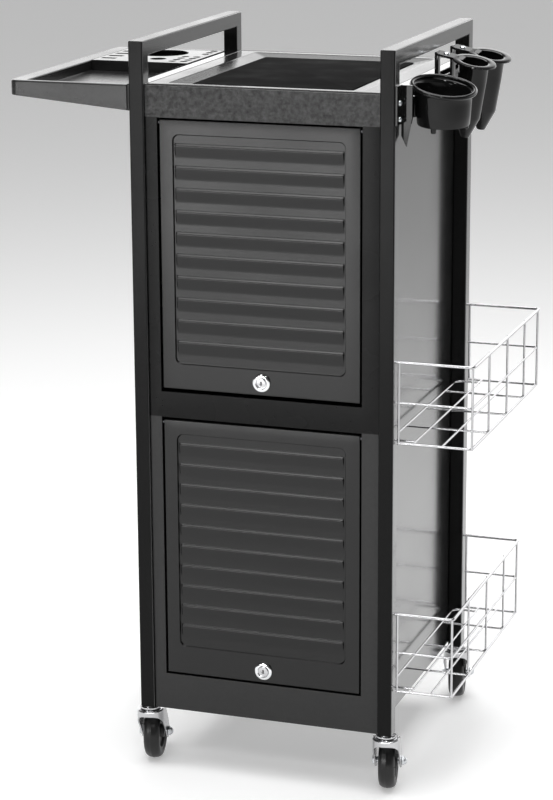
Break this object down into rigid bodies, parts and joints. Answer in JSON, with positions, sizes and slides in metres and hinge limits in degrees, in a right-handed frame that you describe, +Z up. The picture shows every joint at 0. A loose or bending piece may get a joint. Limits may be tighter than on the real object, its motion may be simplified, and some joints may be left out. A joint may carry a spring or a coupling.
{
  "type": "salon trolley",
  "caption": "Upright two-door cabinet trolley on swivel casters, with tube side handles, a side tray, wire side baskets and cup-shaped tool holders.",
  "frame": {"origin": "bottom centre of the whole trolley's bounding box, on the floor under the wheels", "axes": "+Z up; +X to the right seen from the front, towards the wire baskets; the doors face -Y and +Y goes to the back"},
  "size_m": [0.625, 0.4395, 0.988],
  "materials": {
    "frame_paint": "semi-gloss black powder coat",
    "door_paint": "satin black powder coat",
    "chrome": "polished",
    "basket_chrome": "polished wire",
    "zinc_steel": "zinc plated",
    "cup_plastic": "high gloss",
    "insert_plastic": "semi-gloss",
    "matte_plastic": "matte",
    "hub_plastic": "matte",
    "mat_rubber": "matte",
    "tyre_rubber": "matte"
  },
  "bodies": {
    "frame": {"post_front_left": "frame_paint", "post_front_right": "frame_paint", "post_rear_left": "frame_paint", "post_rear_right": "frame_paint", "handle_left": "frame_paint", "handle_right": "frame_paint", "tube_end_plugs": "matte_plastic", "face_frame": "frame_paint", "side_panel_left": "frame_paint", "side_panel_right": "frame_paint", "back_panel": "frame_paint", "bottom_panel": "frame_paint", "shelf": "frame_paint", "top_tray": "frame_paint", "tray_mat": "mat_rubber", "upper_hinge_pins": "zinc_steel", "lower_hinge_pins": "zinc_steel", "side_tray": "frame_paint", "side_tray_insert": "insert_plastic", "side_tray_brackets": "frame_paint", "panel_screws": "zinc_steel", "holder_rail": "frame_paint", "dryer_cup": "cup_plastic", "iron_cup_front": "cup_plastic", "iron_cup_rear": "cup_plastic", "upper_basket_front_end": "basket_chrome", "upper_basket_rear_end": "basket_chrome", "upper_basket_outer_side": "basket_chrome", "upper_basket_floor": "basket_chrome", "lower_basket_front_end": "basket_chrome", "lower_basket_rear_end": "basket_chrome", "lower_basket_outer_side": "basket_chrome", "lower_basket_floor": "basket_chrome", "caster_stems": "chrome"},
    "upper_door": {"upper_door": "door_paint", "upper_lock_body": "chrome", "upper_lock_nut": "zinc_steel"},
    "upper_lock": {"upper_lock_plug": "chrome", "upper_lock_cam": "zinc_steel"},
    "lower_door": {"lower_door": "door_paint", "lower_lock_body": "chrome", "lower_lock_nut": "zinc_steel"},
    "lower_lock": {"lower_lock_plug": "chrome", "lower_lock_cam": "zinc_steel"},
    "front_left_caster": {"front_left_fork": "chrome", "front_left_axle": "chrome"},
    "front_left_wheel": {"front_left_hub": "hub_plastic", "front_left_tyre": "tyre_rubber"},
    "front_right_caster": {"front_right_fork": "chrome", "front_right_axle": "chrome"},
    "front_right_wheel": {"front_right_hub": "hub_plastic", "front_right_tyre": "tyre_rubber"},
    "rear_left_caster": {"rear_left_fork": "chrome", "rear_left_axle": "chrome"},
    "rear_left_wheel": {"rear_left_hub": "hub_plastic", "rear_left_tyre": "tyre_rubber"},
    "rear_right_caster": {"rear_right_fork": "chrome", "rear_right_axle": "chrome"},
    "rear_right_wheel": {"rear_right_hub": "hub_plastic", "rear_right_tyre": "tyre_rubber"}
  },
  "joints": [
    {"name": "upper_door_flap", "type": "hinge", "parent": "frame", "child": "upper_door", "pos_m": [0.0282, -0.20377, 0.885], "axis": [-1, 0, 0], "range_deg": [0, 100]},
    {"name": "lower_door_flap", "type": "hinge", "parent": "frame", "child": "lower_door", "pos_m": [0.0282, -0.20377, 0.489], "axis": [-1, 0, 0], "range_deg": [0, 100]},
    {"name": "upper_lock_turn", "type": "hinge", "parent": "upper_door", "child": "upper_lock", "pos_m": [0.03, -0.20677, 0.553], "axis": [0, 1, 0], "range_deg": [0, 90]},
    {"name": "lower_lock_turn", "type": "hinge", "parent": "lower_door", "child": "lower_lock", "pos_m": [0.03, -0.20677, 0.1575], "axis": [0, 1, 0], "range_deg": [0, 90]},
    {"name": "front_left_swivel", "type": "hinge", "parent": "frame", "child": "front_left_caster", "pos_m": [-0.1355, -0.20176, 0.08], "axis": [0, 0, 1], "continuous": true},
    {"name": "front_left_roll", "type": "hinge", "parent": "front_left_caster", "child": "front_left_wheel", "pos_m": [-0.14151, -0.16932, 0.0375], "axis": [0.9833, 0.1822, 0], "continuous": true},
    {"name": "front_right_swivel", "type": "hinge", "parent": "frame", "child": "front_right_caster", "pos_m": [0.1985, -0.20176, 0.08], "axis": [0, 0, 1], "continuous": true},
    {"name": "front_right_roll", "type": "hinge", "parent": "front_right_caster", "child": "front_right_wheel", "pos_m": [0.19249, -0.16932, 0.0375], "axis": [0.9833, 0.1822, 0], "continuous": true},
    {"name": "rear_left_swivel", "type": "hinge", "parent": "frame", "child": "rear_left_caster", "pos_m": [-0.1355, 0.15024, 0.08], "axis": [0, 0, 1], "continuous": true},
    {"name": "rear_left_roll", "type": "hinge", "parent": "rear_left_caster", "child": "rear_left_wheel", "pos_m": [-0.14151, 0.18268, 0.0375], "axis": [0.9833, 0.1822, 0], "continuous": true},
    {"name": "rear_right_swivel", "type": "hinge", "parent": "frame", "child": "rear_right_caster", "pos_m": [0.1985, 0.15024, 0.08], "axis": [0, 0, 1], "continuous": true},
    {"name": "rear_right_roll", "type": "hinge", "parent": "rear_right_caster", "child": "rear_right_wheel", "pos_m": [0.19249, 0.18268, 0.0375], "axis": [0.9833, 0.1822, 0], "continuous": true}
  ]
}
